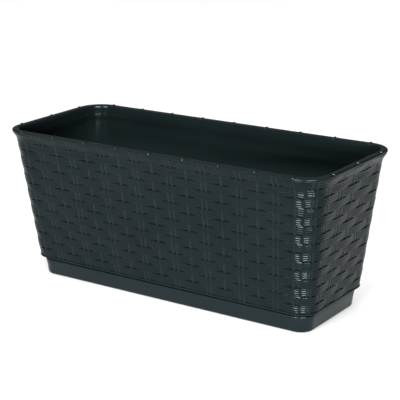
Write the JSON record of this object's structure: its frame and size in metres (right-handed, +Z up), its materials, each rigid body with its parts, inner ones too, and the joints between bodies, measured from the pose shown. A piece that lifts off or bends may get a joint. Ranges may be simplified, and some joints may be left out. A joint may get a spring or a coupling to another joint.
{
  "type": "self watering planter",
  "caption": "Rectangular woven-look window box on a smooth water tray, with wicking cups, a capped filler tube and a float gauge inside.",
  "frame": {"origin": "middle of the tray's underside, where the planter stands", "axes": "+X along the length towards the filler end, -Y out of the front side, +Z up"},
  "size_m": [0.4, 0.166, 0.1707],
  "materials": {
    "tray_plastic": "smooth satin anthracite plastic",
    "woven_plastic": "satin anthracite plastic, moulded as a rattan weave",
    "inner_plastic": "black moulded plastic",
    "cap_plastic": "satin grey plastic",
    "wick_fibre": "bonded off-white fibre",
    "plug_rubber": "matt black rubber",
    "pin_steel": "bright steel wire",
    "window_plastic": "clear plastic",
    "float_plastic": "white plastic",
    "flag_plastic": "red plastic"
  },
  "bodies": {
    "tray": {"water_tray": "tray_plastic"},
    "plug": {"drain_plug": "plug_rubber"},
    "box": {"planter_box": "woven_plastic"},
    "platform": {"soil_platform": "inner_plastic", "wick_cup_1": "inner_plastic", "wick_cup_2": "inner_plastic", "wick_cup_3": "inner_plastic", "wick_cup_4": "inner_plastic", "wick_1": "wick_fibre", "wick_2": "wick_fibre", "wick_3": "wick_fibre", "wick_4": "wick_fibre", "filler_tube": "inner_plastic", "filler_funnel": "inner_plastic", "filler_cap_pin": "pin_steel", "gauge_tube": "inner_plastic", "gauge_window": "window_plastic"},
    "cap": {"filler_cap": "cap_plastic"},
    "float": {"gauge_float": "float_plastic", "gauge_stem": "float_plastic", "gauge_flag": "flag_plastic"}
  },
  "joints": [
    {"name": "box_lift", "type": "slide", "parent": "tray", "child": "box", "axis": [0, 0, 1], "range_m": [0, 0.1]},
    {"name": "platform_lift", "type": "slide", "parent": "box", "child": "platform", "axis": [0, 0, 1], "range_m": [0, 0.18]},
    {"name": "cap_hinge", "type": "hinge", "parent": "platform", "child": "cap", "pos_m": [0.0648, -0.036, 0.1403], "axis": [0, -1, 0], "range_deg": [0, 110]},
    {"name": "float_rise", "type": "slide", "parent": "platform", "child": "float", "axis": [0, 0, 1], "range_m": [0, 0.02]},
    {"name": "plug_pull", "type": "slide", "parent": "tray", "child": "plug", "axis": [0, 1, 0], "range_m": [0, 0.03]}
  ]
}
